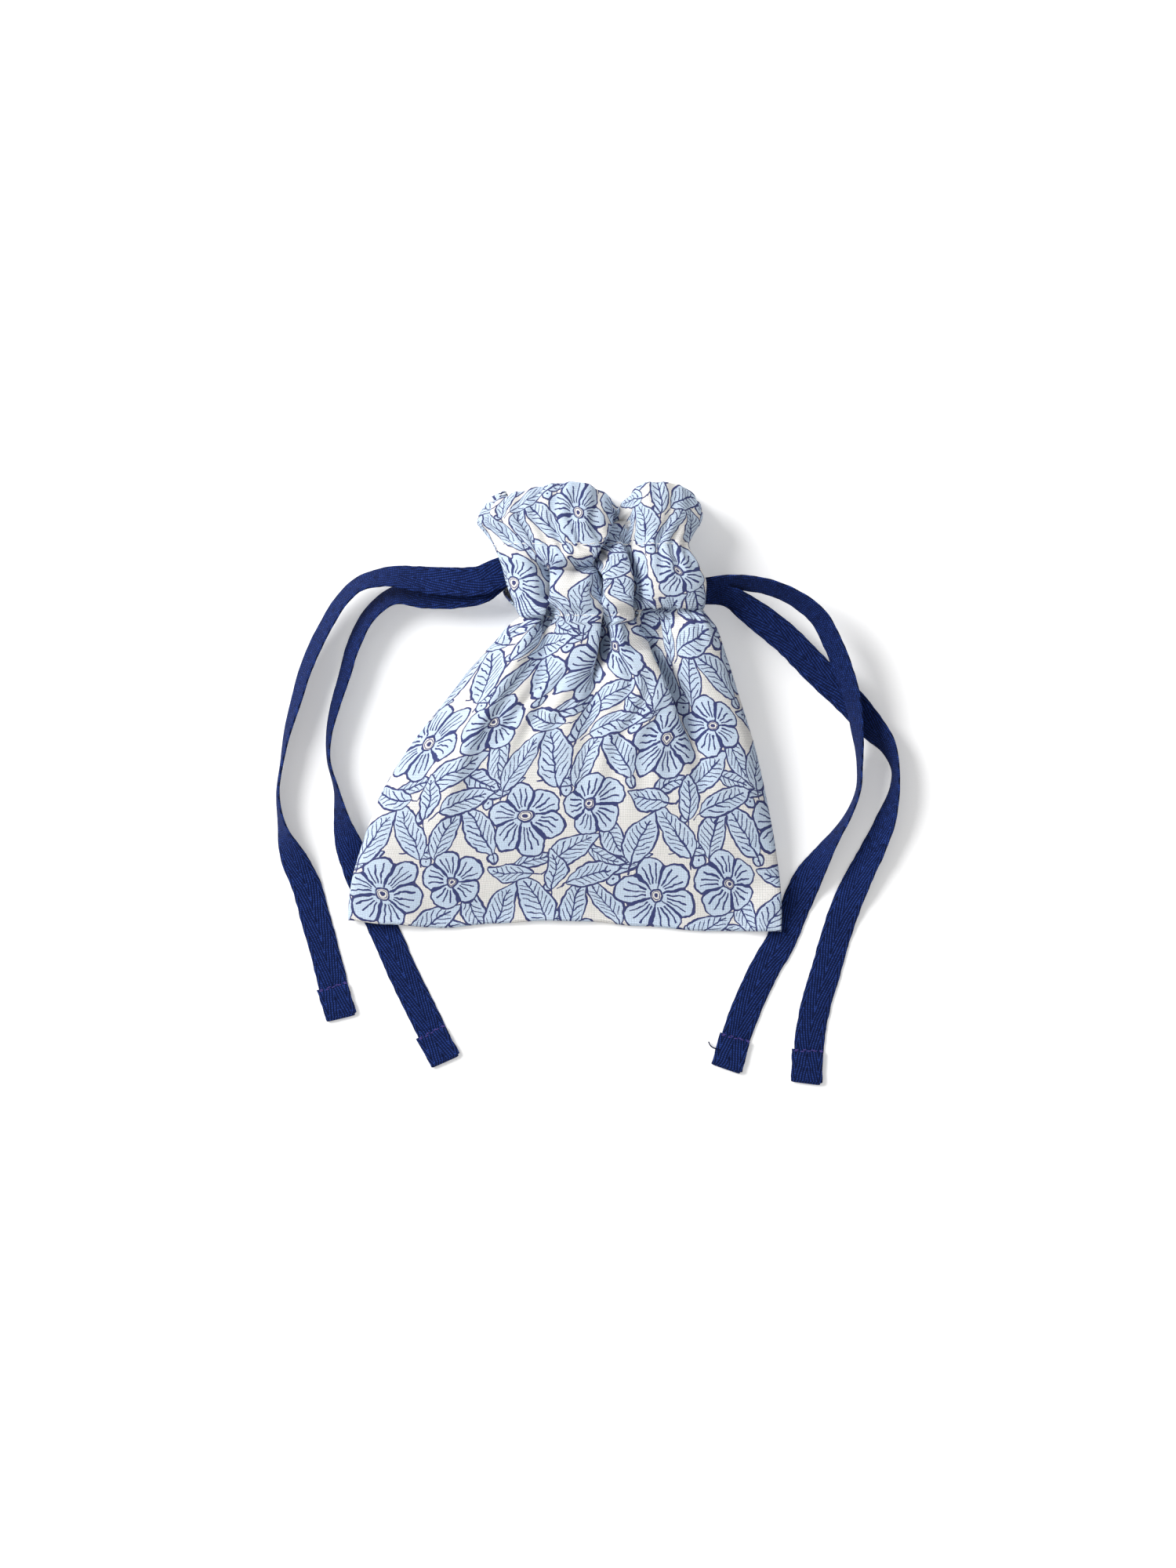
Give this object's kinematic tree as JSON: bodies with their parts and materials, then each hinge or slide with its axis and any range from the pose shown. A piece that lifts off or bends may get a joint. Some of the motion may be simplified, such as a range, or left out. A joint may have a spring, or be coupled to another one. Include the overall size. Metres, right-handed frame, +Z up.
{
  "type": "drawstring pouch",
  "caption": "Small printed cloth pouch lying flat, drawn in at the neck by flat tapes that run through its casing",
  "frame": {"origin": "middle of the cloth pouch as it lies, on the table under it", "axes": "+X to the right seam seen from the front, +Y from the bottom seam to the mouth, +Z up through the front panel"},
  "size_m": [0.2022, 0.1938, 0.0307],
  "materials": {
    "printed_cloth": "plain-weave cotton and linen, off-white with a pale blue and indigo leaf print",
    "navy_tape": "matte herringbone cotton tape"
  },
  "bodies": {
    "root": {"front_panel": "printed_cloth", "back_panel": "printed_cloth", "drawstring_left": "navy_tape", "drawstring_right": "navy_tape"}
  },
  "joints": []
}
